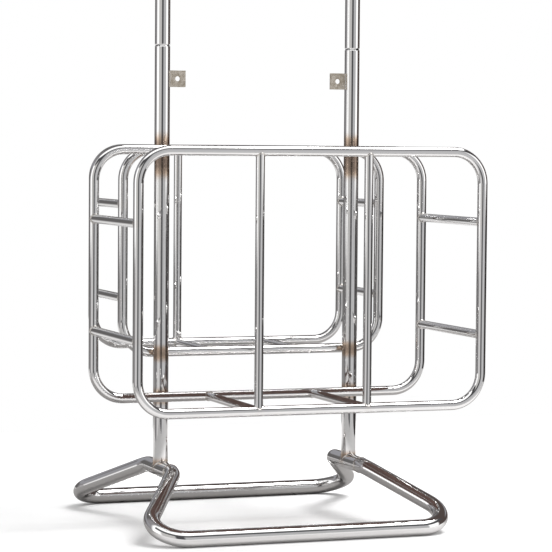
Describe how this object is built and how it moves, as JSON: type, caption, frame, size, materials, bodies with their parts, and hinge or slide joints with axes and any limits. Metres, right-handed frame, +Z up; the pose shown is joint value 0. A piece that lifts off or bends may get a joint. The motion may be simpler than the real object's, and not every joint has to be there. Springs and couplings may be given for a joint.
{
  "type": "bag gauge stand",
  "caption": "Polished tube stand with two open-topped rounded cages between posts on a bent tube base, topped by a lift-off sign hoop.",
  "frame": {"origin": "on the floor, at the middle of the footprint box", "axes": "+X to the right seen from the front, +Y to the rear, +Z up; the main cage is at the front (-Y)"},
  "size_m": [0.592, 0.5314, 1.2],
  "materials": {
    "chrome_tube": "mirror polished",
    "lug_plate": "dull grey plate",
    "spigot": "plain",
    "plug": "matt black"
  },
  "bodies": {
    "stand": {"main_front_hoop": "chrome_tube", "main_rear_hoop": "chrome_tube", "main_front_bar_left": "chrome_tube", "main_front_bar_right": "chrome_tube", "main_side_bar_left_upper": "chrome_tube", "main_side_bar_left_lower": "chrome_tube", "main_side_bar_right_upper": "chrome_tube", "main_side_bar_right_lower": "chrome_tube", "main_floor_bar_left": "chrome_tube", "main_floor_bar_right": "chrome_tube", "small_front_hoop": "chrome_tube", "small_rear_hoop": "chrome_tube", "small_rear_bar_left": "chrome_tube", "small_rear_bar_right": "chrome_tube", "small_side_bar_left_upper": "chrome_tube", "small_side_bar_left_lower": "chrome_tube", "small_side_bar_right_upper": "chrome_tube", "small_side_bar_right_lower": "chrome_tube", "small_floor_bar_left": "chrome_tube", "small_floor_bar_right": "chrome_tube", "post_left": "chrome_tube", "post_right": "chrome_tube", "front_floor_tube": "chrome_tube", "rear_floor_tube": "chrome_tube", "front_leg_left": "chrome_tube", "front_leg_right": "chrome_tube", "rear_leg_left": "chrome_tube", "rear_leg_right": "chrome_tube", "crest_left": "chrome_tube", "crest_right": "chrome_tube", "vent_plugs": "plug", "lower_lug_left": "lug_plate", "lower_lug_right": "lug_plate"},
    "sign_hoop": {"sign_hoop": "chrome_tube", "spigot_left": "spigot", "spigot_right": "spigot", "upper_lug_left": "lug_plate", "upper_lug_right": "lug_plate"}
  },
  "joints": [
    {"name": "sign_hoop_lift", "type": "slide", "parent": "stand", "child": "sign_hoop", "axis": [0, 0, 1], "range_m": [0, 0.12]}
  ]
}
